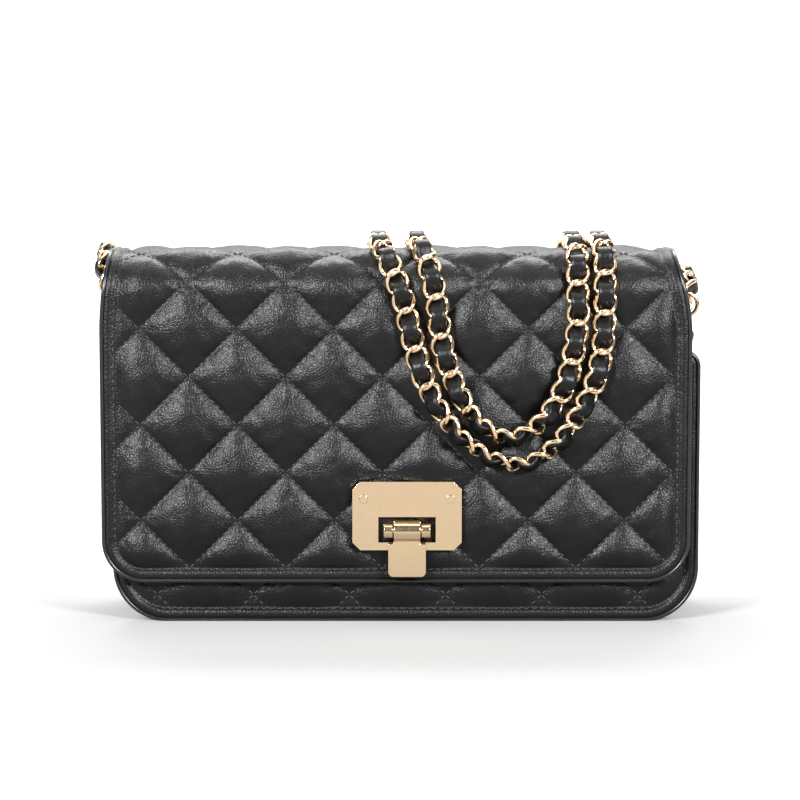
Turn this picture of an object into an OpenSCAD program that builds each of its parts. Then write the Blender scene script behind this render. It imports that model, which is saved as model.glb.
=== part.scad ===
// Quilted crossbody purse with a fold-over flap, a metal lock and a woven chain strap.
// X runs across the front, -Y is the front, Z is up, and the origin is the centre of the base.

/* [Body] */
// Width of the front and back panels
body_w = 226; // [190:1:280]
// Depth over the front and back panels
body_d = 55; // [45:1:70]
// Height of the back panel, up to the line where the flap folds
back_h = 125; // [104:1:152]
// Height of the front panel
front_h = 105; // [85:1:118]
// Radius of the lower corners of the panels
corner_r = 21; // [14:0.5:28]
// Radius of the upper corners of the panels
panel_top_r = 6; // [2:0.5:10]
// Width of the flat stitched border round each panel
border = 5; // [4:0.1:8]

/* [Leather] */
// Thickness of a padded and quilted panel
panel_t = 3.5; // [2.5:0.1:5]
// Thickness of the gusset
gusset_t = 1.6; // [1:0.1:2.5]
// Thickness of the gusset's flanges, which are stitched to the panels
flange_t = 1.2; // [0.8:0.1:2]
// Thickness of the stiffeners behind the panels
stiffener_t = 0.8; // [0.5:0.1:1.5]

/* [Flap] */
// Width of the flap
flap_w = 226; // [190:1:280]
// How far the closed flap lies off centre
flap_shift = -3.8; // [-5:0.1:5]
// Height of the flap's top above the back panel
flap_rise = 19.5; // [17:0.5:24]
// Height of the flap's lower edge above the base
flap_low = 16; // [10:0.5:30]
// Radius of the soft rolls at the top of the flap
roll_r = 18; // [14:0.5:20]
// Radius of the flap's lower corners
flap_corner_r = 16; // [8:0.5:24]
// Radius of the flap's upper corners
flap_top_r = 7; // [3:0.5:10]
// Thickness of the flap's padded leather
flap_skin_t = 2.4; // [1.8:0.1:3]
// Thickness of the flap's stiffener
flap_board_t = 0.5; // [0.3:0.1:1]
// Thickness of the flap's lining
flap_lining_t = 0.6; // [0.4:0.1:1]
// How far the flap's stiffener stops short of its edges
board_margin = 8; // [5:0.5:14]
// Gap between the closed flap and the front panel
flap_gap = 0.5; // [0.4:0.1:1.5]

/* [Lining] */
// Thickness of the lining
lining_t = 0.6; // [0.4:0.1:1]
// Thickness of the bottom board
bottom_t = 2; // [1:0.1:3]
// Width of the slip pocket
slip_w = 120; // [80:1:150]
// Height of the slip pocket
slip_h = 60; // [40:1:72]
// Width of the zip pocket's pouch
pouch_w = 150; // [120:1:165]
// Depth of the zip pocket's pouch
pouch_h = 70; // [40:1:72]
// Thickness of the empty pouch
pouch_t = 1.2; // [0.8:0.1:2]

/* [Zip] */
// Length of the zip's teeth
zip_len = 140; // [110:1:150]
// Height of the zip above the base
zip_z = 96; // [80:1:100]
// Height of the two rows of teeth
teeth_h = 3; // [2:0.1:4]
// Length of the slider
slider_l = 8; // [7:0.1:10]
// Length of the zip's pull tab
pull_l = 16; // [10:0.5:24]

/* [Lock] */
// Width of the lock plate
plate_w = 42; // [35:0.5:50]
// Height of the lock plate
plate_h = 26.5; // [24:0.5:31]
// Thickness of the lock plate
plate_t = 1.8; // [1:0.1:2.4]
// Sideways place of the lock's centre
lock_x = 0.5; // [-10:0.5:10]
// Height of the lock's centre
lock_z = 42; // [38:0.5:52]
// Width of the window in the plate
window_w = 22; // [20:0.5:25]
// Height of the window in the plate
window_h = 9.8; // [8.5:0.1:11]
// How far the window lies below the plate's centre
window_drop = 5.3; // [3:0.1:6]
// Width of the gap between the lugs
lug_gap = 10.9; // [9:0.1:11.5]
// Width of a lug
lug_w = 3.5; // [2.5:0.1:4]
// Diameter of the hinge pin
pin_d = 2; // [1.6:0.1:2.4]
// Width of the tab
tab_w = 14.6; // [12:0.1:18]
// Height of the flat part of the tab
tab_h = 13; // [10:0.5:15.5]
// Thickness of the tab
tab_t = 1.6; // [1.2:0.1:2]

/* [Snap] */
// Height of the magnetic snap
snap_z = 70; // [66:0.5:85]
// Diameter of the snap's socket
socket_d = 16; // [12:0.5:20]
// Diameter of the snap's stud
stud_d = 14; // [10:0.5:18]

/* [Strap rings] */
// Height of the bar of each D-ring
ring_z = 110; // [88:0.5:112]
// Width inside a D-ring
ring_w = 16; // [12:0.5:19]
// Wire diameter of a D-ring
ring_wire = 2.4; // [2:0.1:2.6]
// Thickness of the leather of a chape
chape_t = 1.2; // [0.8:0.1:1.3]
// Length of a chape below its ring
chape_l = 20; // [16:0.5:30]
// Ring radius of a jump ring, to the middle of its wire
jump_r = 4.6; // [4.2:0.1:5.5]
// Wire diameter of a jump ring
jump_wire = 1.6; // [1.2:0.1:1.8]

/* [Strap] */
// Width of the chain strap
strap_w = 9; // [7:0.1:11]
// Thickness of the chain strap
strap_t = 4; // [3:0.1:4.2]

/* [Hidden] */
$fn = 64;
leather = "#1c1c1f";
cloth = "#26262a";
gold = "#d8c08a";
board = "#8a7f70";

// Clearance between neighbouring pieces
slack = 0.3;
// Running clearance of a pin in its bore
bore_slack = 0.3;
// Cutting tools run past the faces that they cut by this much
past = 1;

inner_d = body_d - 2 * panel_t;
gusset_x = body_w / 2 - border;
flap_t = flap_skin_t + flap_board_t + flap_lining_t;
flap_top = back_h + flap_rise;
flap_front = -body_d / 2 - flap_gap - flap_t;
flap_back = body_d / 2;

// The gusset's upper edge slopes from the front panel up to the back panel
gusset_front_h = front_h + 1;
gusset_back_h = back_h - 1;

// The lining's faces, from outside to inside
lining_inset = border + gusset_t + slack;
lining_bottom = border + gusset_t + bottom_t + slack;
lining_front = -inner_d / 2 + stiffener_t + slack;
lining_back = inner_d / 2 - stiffener_t - pouch_t - slack;
lining_drop = 2;

// The zip's layers stand on the inner face of the lining's back wall
tape_t = 0.6;
tape_h = 16;
teeth_t = 1.2;
tape_back = lining_back - lining_t;
tape_front = tape_back - tape_t;
teeth_front = tape_front - teeth_t;
slider_t = 2.6;
slider_h = 7;
slider_back = tape_front - 0.2;
slider_front = slider_back - slider_t;
slider_x = zip_len / 2 - slider_l;
pull_w = 3;
pull_t = 1;
pull_corner_r = 1.2;
pull_eye_r = 1.4;
pull_pin_d = 1.2;
pull_pin_y = slider_front - pull_eye_r - 0.2;
pull_ear_w = 0.8;

// The lock's hinge
lug_r = 2.8;
knuckle_r = 3.9;
pin_z = lock_z - window_drop;
plate_face = flap_front - plate_t;
pin_y = flap_front - slack - knuckle_r;
tab_back = plate_face - 0.5;
tab_top = pin_z - 5.1;
tab_corner_r = 2;
back_plate_t = 1;
screw_x = plate_w / 2 - 4.3;
screw_rise = plate_h / 2 - 6.7;
screw_head_d = 3.4;
screw_d = 2;
post_d = 3.6;
screw_head_t = 0.5;
plate_chamfer = 3;

// The magnetic snap is let into the flap's lining and the front panel
stud_t = 1.2;
socket_t = 1.6;
socket_proud = 0.1;

// The chapes and rings on the gusset
chape_loop_r = ring_wire / 2 + bore_slack / 2 + chape_t;
chape_w = ring_w - 1;
ring_x = gusset_x + chape_loop_r;
ring_arch_r = ring_w / 2 + ring_wire / 2;
jump_z = ring_z + ring_arch_r + jump_r - (ring_wire + jump_wire) / 2 - slack;
rivet_z = ring_z - chape_l * 0.65;
rivet_head_d = 6;
rivet_head_t = 1;

// ---- shared shapes ----

// A flat shape drawn in X and Z, made solid from y0 to y1
module upright(y0, y1) {
    translate([0, y1, 0]) rotate([90, 0, 0]) linear_extrude(y1 - y0) children();
}

// A flat shape drawn in Y and Z, made solid over the width w about x
module across(x, w) {
    translate([x - w / 2, 0, 0]) rotate([90, 0, 90]) linear_extrude(w) children();
}

// A bar of diameter d along Y, from y0 to y1, at x and z
module rod_y(d, y0, y1, x, z) {
    translate([x, y1, z]) rotate([90, 0, 0]) cylinder(d = d, h = y1 - y0);
}

// A bar of diameter d along X, w long, centred on x, at y and z
module rod_x(d, w, x, y, z) {
    translate([x - w / 2, y, z]) rotate([0, 90, 0]) cylinder(d = d, h = w);
}

// A rectangle from the corner lo to the corner hi, with round corners: low_r below, top_r above
module round_sheet(lo, hi, low_r, top_r) {
    w = hi[0] - lo[0];
    translate([lo[0], lo[1] + low_r]) square([w, hi[1] - lo[1] - low_r - top_r]);
    translate([lo[0] + low_r, lo[1]]) square([w - 2 * low_r, low_r]);
    translate([lo[0] + top_r, hi[1] - top_r]) square([w - 2 * top_r, top_r]);
    for (s = [0, 1]) {
        translate([lo[0] + low_r + s * (w - 2 * low_r), lo[1] + low_r]) circle(low_r);
        translate([lo[0] + top_r + s * (w - 2 * top_r), hi[1] - top_r]) circle(top_r);
    }
}

// The outline of a panel, drawn in by inset
module panel_outline(inset, h) {
    half = body_w / 2 - inset;
    round_sheet([-half, inset], [half, h], corner_r - inset, panel_top_r);
}

// The U of the sides and bottom, drawn in by inset, which runs straight up to h
module trough_outline(inset, h) {
    half = body_w / 2 - inset;
    r = corner_r - inset;
    translate([-half, inset + r]) square([2 * half, h - inset - r]);
    translate([-half + r, inset]) square([2 * (half - r), r]);
    for (s = [-1, 1]) translate([s * (half - r), inset + r]) circle(r);
}

// Everything above the gusset's sloping upper edge, lowered by drop
module above_gusset(drop) {
    far = body_d;
    rise = (gusset_back_h - gusset_front_h) / inner_d;
    middle = (gusset_back_h + gusset_front_h) / 2 - drop;
    across(0, body_w + 2 * past) polygon([
        [-far, middle - far * rise], [far, middle + far * rise],
        [far, back_h * 2], [-far, back_h * 2]
    ]);
}

// ---- the body ----

module back_panel() {
    color(leather) upright(inner_d / 2, body_d / 2) panel_outline(0, back_h);
}

module front_panel() {
    color(leather) difference() {
        upright(-body_d / 2, -inner_d / 2) panel_outline(0, front_h);
        rod_y(socket_d, -body_d / 2 - past, -body_d / 2 + socket_t, lock_x, snap_z);
    }
}

module stiffener(y0, y1, h) {
    color(board) upright(y0, y1) panel_outline(lining_inset, h - border);
}

module flange(y0, y1, h) {
    upright(y0, y1) difference() {
        panel_outline(0, h);
        trough_outline(border + gusset_t, h + past);
    }
}

module gusset() {
    color(leather) {
        difference() {
            upright(-inner_d / 2, inner_d / 2) trough_outline(border, back_h);
            upright(-inner_d, inner_d) trough_outline(border + gusset_t, back_h + past);
            above_gusset(0);
            for (s = [-1, 1]) {
                rod_x(screw_d, 4 * gusset_t, s * gusset_x, 0, rivet_z);
            }
        }
        flange(-inner_d / 2, -inner_d / 2 + flange_t, front_h);
        flange(inner_d / 2 - flange_t, inner_d / 2, back_h - panel_top_r);
    }
}

module bottom_board() {
    half_w = body_w / 2 - corner_r;
    half_d = inner_d / 2 - flange_t - slack;
    color(board) translate([-half_w, -half_d, border + gusset_t])
        cube([2 * half_w, 2 * half_d, bottom_t]);
}

// ---- the lining and its pockets ----

module main_lining() {
    color(cloth) difference() {
        upright(lining_front, lining_back) lining_outline(0);
        upright(lining_front + lining_t, lining_back - lining_t) lining_outline(lining_t);
        above_gusset(lining_drop);
    }
}

module lining_outline(inset) {
    half = body_w / 2 - lining_inset - inset;
    low = lining_bottom + inset;
    r = corner_r - lining_inset - inset;
    translate([-half, low + r]) square([2 * half, back_h + inset - low - r]);
    translate([-half + r, low]) square([2 * (half - r), r]);
    for (s = [-1, 1]) translate([s * (half - r), low + r]) circle(r);
}

// A flat pocket on the lining's front wall, open at its top
module slip_pocket() {
    gap = 0.8;
    wall = lining_front + lining_t;
    top = front_h - 12;
    color(cloth) difference() {
        upright(wall, wall + gap + lining_t)
            round_sheet([-slip_w / 2, top - slip_h], [slip_w / 2, top], 5, 1);
        upright(wall - past, wall + gap)
            translate([-slip_w / 2 + lining_t, top - slip_h + 5])
                square([slip_w - 2 * lining_t, slip_h]);
    }
}

// The pouch of the zip pocket, behind the lining's back wall
module zip_pouch() {
    top = zip_z + 4;
    color(cloth) upright(lining_back, lining_back + pouch_t)
        round_sheet([-pouch_w / 2, top - pouch_h], [pouch_w / 2, top], 5, 1);
}

module zip_tape() {
    color(leather) upright(tape_front, tape_back)
        translate([-zip_len / 2 - 5, zip_z - tape_h / 2]) square([zip_len + 10, tape_h]);
}

module zip_teeth() {
    color(gold) upright(teeth_front, tape_front)
        translate([-zip_len / 2, zip_z - teeth_h / 2]) square([zip_len, teeth_h]);
}

// The slider runs over the teeth and carries the pin of the pull tab on two ears
module zip_slider() {
    ear_x = pull_w / 2 + slack + pull_ear_w / 2;
    color(gold) difference() {
        union() {
            upright(slider_front, slider_back)
                round_sheet([slider_x - slider_l / 2, zip_z - slider_h / 2],
                            [slider_x + slider_l / 2, zip_z + slider_h / 2], 1.5, 1.5);
            for (s = [-1, 1]) {
                rod_x(2 * pull_eye_r, pull_ear_w, slider_x + s * ear_x, pull_pin_y, zip_z);
                translate([slider_x + s * ear_x - pull_ear_w / 2, pull_pin_y, zip_z - pull_eye_r])
                    cube([pull_ear_w, slider_front - pull_pin_y + slack, 2 * pull_eye_r]);
            }
            rod_x(pull_pin_d, 2 * ear_x, slider_x, pull_pin_y, zip_z);
        }
        translate([slider_x - slider_l, teeth_front - slack, zip_z - teeth_h / 2 - slack])
            cube([2 * slider_l, body_d, teeth_h + 2 * slack]);
    }
}

module zip_pull() {
    color(gold) difference() {
        union() {
            rod_x(2 * pull_eye_r, pull_w, slider_x, pull_pin_y, zip_z);
            upright(pull_pin_y - pull_t / 2, pull_pin_y + pull_t / 2)
                round_sheet([slider_x - pull_w / 2, zip_z - pull_l],
                            [slider_x + pull_w / 2, zip_z], pull_corner_r, 0.2);
        }
        rod_x(pull_pin_d + bore_slack, pull_w + 2 * past, slider_x, pull_pin_y, zip_z);
    }
}

// ---- the strap's fittings: each is drawn on the right and mirrored to the left ----

module on_side(side) {
    if (side > 0) children();
    else mirror([1, 0, 0]) children();
}

// A leather strip folded round the bar of the D-ring and riveted to the gusset
module chape(side) {
    color(leather) on_side(side) difference() {
        union() {
            rod_y(2 * chape_loop_r, -chape_w / 2, chape_w / 2, ring_x, ring_z);
            translate([gusset_x, -chape_w / 2, ring_z - chape_l])
                cube([chape_loop_r, chape_w, chape_l]);
        }
        rod_y(ring_wire + bore_slack, -chape_w, chape_w, ring_x, ring_z);
        rod_x(screw_d, 4 * chape_loop_r, gusset_x, 0, rivet_z);
    }
}

module chape_rivets() {
    color(gold) for (side = [-1, 1]) on_side(side) {
        shank = gusset_t + chape_loop_r;
        rod_x(screw_d, shank, gusset_x - gusset_t + shank / 2, 0, rivet_z);
        rod_x(rivet_head_d, rivet_head_t, ring_x + rivet_head_t / 2, 0, rivet_z);
    }
}

// A straight bar along Y with a half-round arch above it
module d_ring(side) {
    color(gold) on_side(side) translate([ring_x, 0, ring_z]) {
        rod_y(ring_wire, -ring_arch_r, ring_arch_r, 0, 0);
        rotate([90, 0, 90]) rotate_extrude(angle = 180) translate([ring_arch_r, 0]) circle(d = ring_wire);
        for (s = [-1, 1]) translate([0, s * ring_arch_r, 0]) sphere(d = ring_wire);
    }
}

module jump_ring(side) {
    color(gold) on_side(side) translate([ring_x, 0, jump_z])
        rotate([90, 0, 0]) rotate_extrude() translate([jump_r, 0]) circle(d = jump_wire);
}

// ---- the flap ----

// The arch of the flap in Y and Z, drawn in by depth from its outer face
module flap_arch(depth) {
    y0 = flap_front + depth;
    y1 = flap_back - depth;
    top = flap_top - depth;
    r = roll_r - depth;
    translate([y0, -past]) square([y1 - y0, top - r + past]);
    translate([y0 + r, -past]) square([y1 - y0 - 2 * r, top + past]);
    translate([y0 + r, top - r]) circle(r);
    translate([y1 - r, top - r]) circle(r);
}

// One layer of the flap, between two depths below its outer face, drawn in from its edges
module flap_layer(from, to, inset) {
    half = flap_w / 2 - inset;
    fold = back_h + slack + inset;
    intersection() {
        across(flap_shift, flap_w) difference() {
            flap_arch(from);
            flap_arch(to);
            translate([flap_back - roll_r, -2 * past]) square([body_d, fold + 2 * past]);
        }
        upright(-body_d, body_d)
            round_sheet([flap_shift - half, flap_low + inset], [flap_shift + half, flap_top + past],
                        flap_corner_r - inset / 2, flap_top_r);
    }
}

// What the lock needs cut out of the flap: slots for its lugs and holes for its posts
module lock_holes() {
    y0 = flap_front - past;
    y1 = flap_front + flap_t + past;
    upright(y0, y1) translate([lock_x - window_w / 2 + 1, pin_z - lug_r - slack])
        square([window_w - 2, 2 * (lug_r + slack)]);
    for (s = [-1, 1]) rod_y(post_d + slack, y0, y1, lock_x + s * screw_x, lock_z + screw_rise);
}

// The recesses in the flap's inner face for the lock's back plate and the snap's stud
module inner_recesses() {
    inner = flap_front + flap_t;
    upright(inner - back_plate_t, inner + past) lock_back_outline(slack);
    rod_y(stud_d, inner - stud_t, inner + past, lock_x, snap_z);
}

module flap_outer() {
    color(leather) difference() {
        flap_layer(0, flap_skin_t, 0);
        lock_holes();
        inner_recesses();
    }
}

module flap_board() {
    color(board) difference() {
        flap_layer(flap_skin_t, flap_skin_t + flap_board_t, board_margin);
        lock_holes();
        inner_recesses();
    }
}

module flap_lining() {
    color(cloth) difference() {
        flap_layer(flap_skin_t + flap_board_t, flap_t, 1);
        lock_holes();
        inner_recesses();
    }
}

// ---- the magnetic snap ----

module snap_stud() {
    inner = flap_front + flap_t;
    color(gold) rod_y(stud_d, inner - stud_t, inner, lock_x, snap_z);
}

module snap_socket() {
    face = -body_d / 2;
    color(gold) rod_y(socket_d, face - socket_proud, face + socket_t, lock_x, snap_z);
}

// ---- the lock ----

// The plate's outline with its corners cut off
module plate_outline() {
    w = plate_w / 2;
    h = plate_h / 2;
    c = plate_chamfer;
    translate([lock_x, lock_z]) polygon([
        [-w + c, -h], [w - c, -h], [w, -h + c], [w, h - c],
        [w - c, h], [-w + c, h], [-w, h - c], [-w, -h + c]
    ]);
}

module lock_back_outline(grow) {
    w = plate_w - 2 + 2 * grow;
    h = plate_h - 2 + 2 * grow;
    translate([lock_x - w / 2, lock_z - h / 2]) square([w, h]);
}

module lock_front_plate() {
    color(gold) difference() {
        upright(plate_face, flap_front) plate_outline();
        upright(plate_face - past, flap_front + past)
            translate([lock_x - window_w / 2, pin_z - window_h / 2]) square([window_w, window_h]);
        for (s = [-1, 1]) {
            rod_y(screw_d + slack, plate_face - past, flap_front + past,
                  lock_x + s * screw_x, lock_z + screw_rise);
        }
    }
}

// The back plate carries both lugs and the posts that take the screws
module lock_back_plate() {
    inner = flap_front + flap_t;
    color(gold) difference() {
        union() {
            upright(inner - back_plate_t, inner) lock_back_outline(0);
            for (s = [-1, 1]) {
                x = lock_x + s * (lug_gap + lug_w) / 2;
                rod_x(2 * lug_r, lug_w, x, pin_y, pin_z);
                translate([x - lug_w / 2, pin_y, pin_z - lug_r])
                    cube([lug_w, inner - back_plate_t - pin_y + slack, 2 * lug_r]);
                rod_y(post_d, flap_front, inner - back_plate_t + slack,
                      lock_x + s * screw_x, lock_z + screw_rise);
            }
        }
        rod_x(pin_d, plate_w, lock_x, pin_y, pin_z);
        for (s = [-1, 1]) {
            rod_y(screw_d, flap_front - past, inner - back_plate_t,
                  lock_x + s * screw_x, lock_z + screw_rise);
        }
    }
}

module lock_screws() {
    inner = flap_front + flap_t;
    color(gold) for (s = [-1, 1]) {
        x = lock_x + s * screw_x;
        rod_y(screw_d, plate_face, inner - back_plate_t, x, lock_z + screw_rise);
        rod_y(screw_head_d, plate_face - screw_head_t, plate_face, x, lock_z + screw_rise);
    }
}

module lock_pin() {
    color(gold) rod_x(pin_d, lug_gap + 2 * lug_w, lock_x, pin_y, pin_z);
}

module lock_tab() {
    neck_w = lug_gap - 2 * slack;
    color(gold) difference() {
        union() {
            rod_x(2 * knuckle_r, neck_w, lock_x, pin_y, pin_z);
            translate([lock_x - neck_w / 2, tab_back - tab_t, tab_top - past])
                cube([neck_w, tab_t, pin_z - tab_top + past]);
            upright(tab_back - tab_t, tab_back)
                round_sheet([lock_x - tab_w / 2, tab_top - tab_h], [lock_x + tab_w / 2, tab_top],
                            tab_corner_r, 0.5);
        }
        rod_x(pin_d + bore_slack, plate_w, lock_x, pin_y, pin_z);
    }
}

// ---- the chain strap ----

// The strap is one length of chain, laid over the bag: from the left ring it rises, falls behind,
// crosses the top to the front, hangs there as the outer loop, goes back over the top, hangs
// behind, comes forward again as the inner loop, and goes back and down to the right ring.
left_side = [
    [-119, 0, 129], [-120, 4, 137], [-120, 14, 142], [-120, 27, 137], [-120, 34, 123],
    [-116, 35, 108], [-100, 34, 93], [-68, 34, 83], [-35, 34, 89], [-15.5, 32, 108]
];
outer_loop = [
    [-1.5, -34, 127], [2.5, -34, 110], [7.5, -35, 93], [16.5, -36, 77.5], [29.5, -37, 66.5],
    [43.5, -37, 62.5], [56.5, -37, 69], [66.5, -36, 82], [73, -35, 96], [75.5, -34, 112],
    [76, -34, 127]
];
back_loop = [
    [73.5, 31, 105], [61.5, 33, 82], [40.5, 34, 70], [20.5, 33, 82], [7.5, 31, 105]
];
inner_loop = [
    [11.5, -34, 127], [13.5, -34, 110], [18.5, -35, 93], [25.5, -36, 80.5], [35, -37, 73.5],
    [45, -37, 74], [54, -37, 81], [61, -36, 93], [64, -35, 105], [65.5, -34, 116],
    [65.5, -34, 127]
];
right_side = [
    [66.5, 36, 112], [74.5, 39, 97], [90, 37, 89], [103, 38, 95], [111.5, 37, 108],
    [113.6, 33.5, 122], [113.4, 28, 131], [113, 14, 132], [112.8, 4, 129]
];
// The height at which the route is half way round a roll
roll_z = 142;

// The five points of a crossing over the top, from back to front
function forward(x_back, x_front) = [
    [x_back, 31, 126], [x_back, 25.2, roll_z], [x_back, 9, 147],
    [x_back, -13, 147], [x_front, -28.5, roll_z]
];
function backward(x_back, x_front) = let (p = forward(x_back, x_front)) [for (i = [4:-1:0]) p[i]];

route = concat(
    left_side, forward(-10.5, -7.5), outer_loop, backward(75.5, 76), back_loop,
    forward(4.5, 7.5), inner_loop, backward(65, 65.5), right_side
);
route_end = len(route) - 1;
// Where the route passes the fold of the flap: four times
fold_a = len(left_side);
fold_b = fold_a + 5 + len(outer_loop) + 4;
fold_c = fold_b + 1 + len(back_loop);
fold_d = fold_c + 5 + len(inner_loop) + 4;

// A point of the smooth route, at the fraction t of the way from point i to point i + 1
function route_at(i, t) = let (
    a = route[max(i - 1, 0)], b = route[i], c = route[i + 1], d = route[min(i + 2, route_end)]
) (2 * b + (c - a) * t + (2 * a - 5 * b + 4 * c - d) * t * t + (3 * b - a - 3 * c + d) * t * t * t) / 2;

function unit(v) = v / norm(v);
function clamp(v, lo, hi) = min(max(v, lo), hi);

// The strap lies flat on the bag's top, so its flat side faces away from a block inside the top.
// Below the block that turns it edge-on, as a flat strap turns where it hangs in a bend.
side_weight = 4;
function outward(p) = unit([
    side_weight * (p[0] - clamp(p[0], -110, 110)),
    p[1] - clamp(p[1], -13.5, 9.5),
    p[2] - clamp(p[2], 110, 126.5)
]);

strap_sides = 8;
function strap_ring(i, t) = let (
    p = route_at(i, t),
    ahead = unit(route_at(i, t + 0.01) - route_at(i, t - 0.01)),
    wide = unit(cross(ahead, outward(p))),
    thick = cross(wide, ahead)
) [for (k = [0:strap_sides - 1]) let (turn = 360 * k / strap_sides)
    p + wide * (strap_w / 2) * cos(turn) + thick * (strap_t / 2) * sin(turn)];

// The rolls are tight, so the stretches beside their middle points take two rings each
function ring_steps(i) = (route[i][2] == roll_z || route[i + 1][2] == roll_z) ? 2 : 1;

// The stretch of strap from point first to point last of the route
module strap_run(first, last) {
    rings = concat(
        [for (i = [first:last - 1]) for (k = [0:ring_steps(i) - 1]) strap_ring(i, k / ring_steps(i))],
        [strap_ring(last - 1, 1)]
    );
    points = [for (r = rings) each r];
    n = strap_sides;
    m = len(rings) - 1;
    walls = [for (j = [0:m - 1]) for (k = [0:n - 1]) let (a = j * n + k, b = j * n + (k + 1) % n)
        each [[a, b, a + n], [b, b + n, a + n]]];
    caps = [[for (k = [n - 1:-1:0]) k], [for (k = [0:n - 1]) m * n + k]];
    color(gold) polyhedron(points, concat(walls, caps));
}

module strap_bends() {
    for (fold = [fold_a, fold_b, fold_c, fold_d]) strap_run(fold - 1, fold + 1);
}

back_panel();
front_panel();
stiffener(inner_d / 2 - stiffener_t, inner_d / 2, back_h);  // back_stiffener
stiffener(-inner_d / 2, -inner_d / 2 + stiffener_t, front_h);  // front_stiffener
gusset();
bottom_board();
main_lining();
slip_pocket();
zip_pouch();
zip_tape();
zip_teeth();
zip_slider();
zip_pull();
chape(-1);  // chape_left
chape(1);  // chape_right
chape_rivets();
d_ring(-1);  // d_ring_left
d_ring(1);  // d_ring_right
jump_ring(-1);  // jump_ring_left
jump_ring(1);  // jump_ring_right
snap_socket();
snap_stud();
flap_outer();
flap_board();
flap_lining();
lock_front_plate();
lock_back_plate();
lock_screws();
lock_pin();
lock_tab();
strap_run(0, 2);  // strap_end_left
strap_run(2, fold_a - 1);  // strap_back_left
strap_bends();
strap_run(fold_a + 1, fold_b - 1);  // strap_front_outer
strap_run(fold_b + 1, fold_c - 1);  // strap_back_loop
strap_run(fold_c + 1, fold_d - 1);  // strap_front_inner
strap_run(fold_d + 1, route_end - 2);  // strap_back_right
strap_run(route_end - 2, route_end);  // strap_end_right
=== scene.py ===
"""A quilted crossbody purse with a flap, a plate lock and a chain strap laced with leather.

Lengths are in millimetres in this script, and become metres when a mesh is made. +X is right,
-Y is the front and +Z is up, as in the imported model.
"""

import math

import bmesh
import bpy
import numpy as np
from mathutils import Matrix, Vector


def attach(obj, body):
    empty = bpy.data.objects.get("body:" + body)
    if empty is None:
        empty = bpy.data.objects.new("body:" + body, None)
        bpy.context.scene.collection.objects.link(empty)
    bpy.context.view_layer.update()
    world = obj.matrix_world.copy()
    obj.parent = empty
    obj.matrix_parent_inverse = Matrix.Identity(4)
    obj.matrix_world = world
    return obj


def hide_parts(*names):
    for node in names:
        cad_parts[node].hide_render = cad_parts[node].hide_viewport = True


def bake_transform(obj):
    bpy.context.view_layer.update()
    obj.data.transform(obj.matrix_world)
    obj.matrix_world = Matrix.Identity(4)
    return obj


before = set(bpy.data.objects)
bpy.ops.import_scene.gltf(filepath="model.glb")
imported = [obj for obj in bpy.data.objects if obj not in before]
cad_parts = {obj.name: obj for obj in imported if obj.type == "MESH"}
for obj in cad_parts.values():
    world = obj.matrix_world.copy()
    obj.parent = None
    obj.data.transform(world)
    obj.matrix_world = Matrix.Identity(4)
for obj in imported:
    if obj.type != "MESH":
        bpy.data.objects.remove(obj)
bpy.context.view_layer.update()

MM = 0.001
rng = np.random.default_rng(7)

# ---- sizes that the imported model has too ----

FRONT_Y = -31.5  # the flap's outer face
BACK_Y = 27.5
TOP_Z = 144.5
ROLL_R = 18
FLAP_LOW = 16
FLAP_CORNER_R = 16
FLAP_SIDES = (-116.8, 109.2)
BODY_HALF = 113
BODY_FRONT_Y = -27.5
PANEL_T = 3.5
FRONT_H = 105
CORNER_R = 21
PANEL_TOP_R = 6
BORDER = 5
GUSSET_X = 108
GUSSET_T = 1.6
GUSSET_FRONT_H = 106
GUSSET_BACK_H = 124
INNER_HALF = 24
RING_X = 110.55
RING_Z = 110

# ---- camera ----


LENS = 105
SENSOR_W = 36
CAMERA_TILT = 5.5  # degrees above level
CAMERA_AIM = (-0.0022, -0.0315, 0.0866)  # metres, as is the distance
CAMERA_DISTANCE = 0.893


def make_camera():
    """The photograph's view: level with the front, a little above it"""
    data = bpy.data.cameras.new("camera")
    data.lens = LENS
    data.sensor_width = SENSOR_W
    camera = bpy.data.objects.new("camera", data)
    bpy.context.scene.collection.objects.link(camera)
    tilt = math.radians(CAMERA_TILT)
    back = Vector((0, -math.cos(tilt), math.sin(tilt)))
    camera.location = Vector(CAMERA_AIM) + back * CAMERA_DISTANCE
    camera.rotation_euler = (-back).to_track_quat("-Z", "Y").to_euler()
    bpy.context.scene.camera = camera


# ---- meshes ----


def add_mesh(name, points, faces, material):
    """A smooth mesh of points in millimetres"""
    mesh = bpy.data.meshes.new(name)
    mesh.from_pydata((np.asarray(points, float) * MM).tolist(), [], [list(f) for f in faces])
    mesh.materials.append(material)
    mesh.validate()
    piece = bpy.data.objects.new(name, mesh)
    bpy.context.scene.collection.objects.link(piece)
    form = bmesh.new()
    form.from_mesh(mesh)
    bmesh.ops.remove_doubles(form, verts=form.verts, dist=1e-7)
    bmesh.ops.recalc_face_normals(form, faces=form.faces)
    form.to_mesh(mesh)
    form.free()
    mesh.shade_smooth()
    return piece


class Shape:
    """Points and faces gathered from many bits into one mesh"""

    def __init__(self):
        self.points = []
        self.faces = []

    def add(self, points, faces):
        first = len(self.points)
        self.points.extend(np.asarray(points, float).reshape(-1, 3).tolist())
        self.faces.extend([[first + i for i in face] for face in faces])

    def mesh(self, name, material, slot=None):
        return add_mesh(name, self.points, self.faces, material)


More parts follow.
